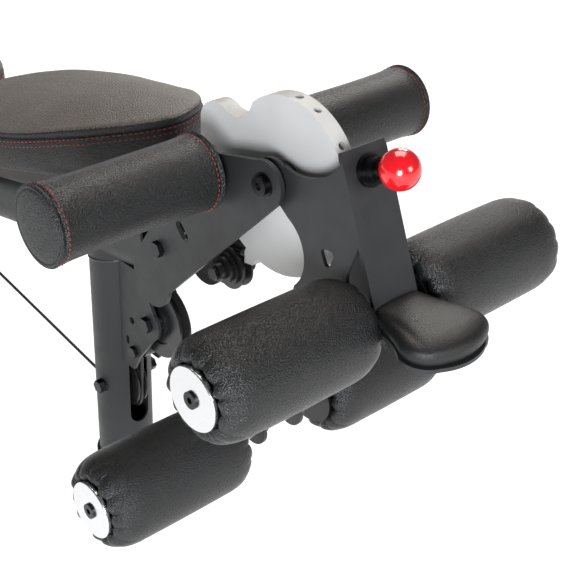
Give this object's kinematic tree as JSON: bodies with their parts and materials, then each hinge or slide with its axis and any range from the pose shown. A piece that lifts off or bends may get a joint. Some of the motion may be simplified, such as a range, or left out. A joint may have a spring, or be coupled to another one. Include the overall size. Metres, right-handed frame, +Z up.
{
  "type": "adjustable weight bench",
  "caption": "Adjustable weight bench with tilting seat, reclining back, pull-pin indexed leg developer, foam rollers, thigh pads and a cable run over pulleys.",
  "frame": {"origin": "on the floor, midway along and across the bench: bottom centre of the bounding box without the cable", "axes": "+X towards the leg rollers, +Y to the left hand of someone facing +X, +Z up"},
  "size_m": [1.7074, 0.61, 0.628],
  "materials": {
    "frame_coat": "satin textured powder coat",
    "cam_metal": "fine brushed silver",
    "cushion": "pebbled black upholstery with red thread",
    "roller_cover": "pebbled black upholstery",
    "seat_cover": "pebbled dark upholstery, sheen on the top",
    "bumper": "smooth black upholstery",
    "chrome": "polished",
    "steel": "bright zinc",
    "fastener": "black oxide",
    "pulley_plastic": "moulded",
    "red_plastic": "glossy red",
    "black_plastic": "moulded",
    "rubber": "matt",
    "board": "black stained plywood",
    "cord": "black coated cable"
  },
  "bodies": {
    "frame": {"bracket_plate_left": "frame_coat", "bracket_plate_right": "frame_coat", "bracket_spacer": "fastener", "cable_hook": "steel", "front_post": "frame_coat", "hinge_lugs": "frame_coat", "hinge_pins": "fastener", "leg_cable": "cord", "main_beam": "frame_coat", "pivot_bolt": "fastener", "pivot_washers": "fastener", "post_foot": "rubber", "pulley_bolts": "fastener", "pulley_bracket": "frame_coat", "rear_stabiliser": "frame_coat", "thigh_pad_left": "cushion", "thigh_pad_right": "cushion", "thigh_tube_left": "frame_coat", "thigh_tube_right": "frame_coat", "tube_caps": "rubber", "wheel_bolts": "fastener"},
    "leg_developer": {"cam_plate": "cam_metal", "cam_hub": "fastener", "cable_clevis": "cam_metal", "cable_end": "steel", "leg_arm": "frame_coat", "arm_bushings": "fastener", "pin_housing": "fastener", "upper_axle": "steel", "lower_axle": "steel", "roller_discs": "chrome", "disc_bolts": "fastener", "foot_pad_plate": "frame_coat", "foot_pad": "bumper"},
    "arm_pull_pin": {"pull_pin": "steel", "ball_knob": "red_plastic"},
    "front_pulley_body": {"front_pulley": "pulley_plastic"},
    "post_pulley_body": {"post_pulley": "pulley_plastic"},
    "cam_pulley_body": {"cam_pulley": "pulley_plastic"},
    "guide_roller_body": {"guide_roller": "pulley_plastic"},
    "seat": {"seat_pad": "seat_cover", "seat_board": "board", "seat_frame": "frame_coat"},
    "back": {"back_pad": "seat_cover", "back_board": "board", "back_frame": "frame_coat"},
    "seat_pin_body": {"seat_pin": "black_plastic"},
    "back_pin_body": {"back_pin": "black_plastic"},
    "wheel_left": {"transport_wheel_left": "pulley_plastic"},
    "wheel_right": {"transport_wheel_right": "pulley_plastic"},
    "upper_left_roller": {"roller_upper_left": "roller_cover", "sleeve_upper_left": "black_plastic"},
    "upper_right_roller": {"roller_upper_right": "roller_cover", "sleeve_upper_right": "black_plastic"},
    "lower_left_roller": {"roller_lower_left": "roller_cover", "sleeve_lower_left": "black_plastic"},
    "lower_right_roller": {"roller_lower_right": "roller_cover", "sleeve_lower_right": "black_plastic"}
  },
  "joints": [
    {"name": "leg_swing", "type": "hinge", "parent": "frame", "child": "leg_developer", "pos_m": [0.62125, 0, 0.55], "axis": [0, -1, 0], "range_deg": [0, 80]},
    {"name": "arm_pin_pull", "type": "slide", "parent": "leg_developer", "child": "arm_pull_pin", "axis": [0.9245, 0, 0.3811], "range_m": [0, 0.012], "stiffness_N_per_m": 900, "springref_m": -0.006},
    {"name": "upper_left_roller_spin", "type": "hinge", "parent": "leg_developer", "child": "upper_left_roller", "pos_m": [0.74225, 0, 0.4565], "axis": [0, 1, 0], "continuous": true},
    {"name": "upper_right_roller_spin", "type": "hinge", "parent": "leg_developer", "child": "upper_right_roller", "pos_m": [0.74225, 0, 0.4565], "axis": [0, 1, 0], "continuous": true},
    {"name": "lower_left_roller_spin", "type": "hinge", "parent": "leg_developer", "child": "lower_left_roller", "pos_m": [0.59875, 0, 0.2465], "axis": [0, 1, 0], "continuous": true},
    {"name": "lower_right_roller_spin", "type": "hinge", "parent": "leg_developer", "child": "lower_right_roller", "pos_m": [0.59875, 0, 0.2465], "axis": [0, 1, 0], "continuous": true},
    {"name": "front_pulley_turn", "type": "hinge", "parent": "frame", "child": "front_pulley_body", "pos_m": [0.40125, 0, 0.275], "axis": [0, 1, 0], "range_deg": [-5, 223]},
    {"name": "post_pulley_turn", "type": "hinge", "parent": "frame", "child": "post_pulley_body", "pos_m": [0.32125, 0, 0.15], "axis": [0, -1, 0], "range_deg": [-5, 254]},
    {"name": "cam_pulley_turn", "type": "hinge", "parent": "frame", "child": "cam_pulley_body", "pos_m": [0.53125, 0, 0.407], "axis": [0, 1, 0], "range_deg": [-5, 441]},
    {"name": "guide_roller_spin", "type": "hinge", "parent": "frame", "child": "guide_roller_body", "pos_m": [0.37225, 0, 0.221], "axis": [0, 1, 0], "continuous": true},
    {"name": "seat_tilt", "type": "hinge", "parent": "frame", "child": "seat", "pos_m": [0.02125, 0, 0.322], "axis": [0, -1, 0], "range_deg": [0, 12]},
    {"name": "back_recline", "type": "hinge", "parent": "frame", "child": "back", "pos_m": [-0.07875, 0, 0.3325], "axis": [0, 1, 0], "range_deg": [0, 75]},
    {"name": "seat_pin_push", "type": "slide", "parent": "frame", "child": "seat_pin_body", "axis": [0, 1, 0], "range_m": [-0.006, 0]},
    {"name": "back_pin_push", "type": "slide", "parent": "frame", "child": "back_pin_body", "axis": [0, -1, 0], "range_m": [-0.006, 0]},
    {"name": "wheel_left_spin", "type": "hinge", "parent": "frame", "child": "wheel_left", "pos_m": [-0.81375, -0.215, 0.044], "axis": [0, 1, 0], "continuous": true},
    {"name": "wheel_right_spin", "type": "hinge", "parent": "frame", "child": "wheel_right", "pos_m": [-0.81375, 0.215, 0.044], "axis": [0, 1, 0], "continuous": true}
  ],
  "couplings": [
    {"joint": "front_pulley_turn", "follows": "leg_swing", "ratio": 2.725},
    {"joint": "post_pulley_turn", "follows": "leg_swing", "ratio": 3.1143},
    {"joint": "cam_pulley_turn", "follows": "leg_swing", "ratio": 5.45}
  ]
}
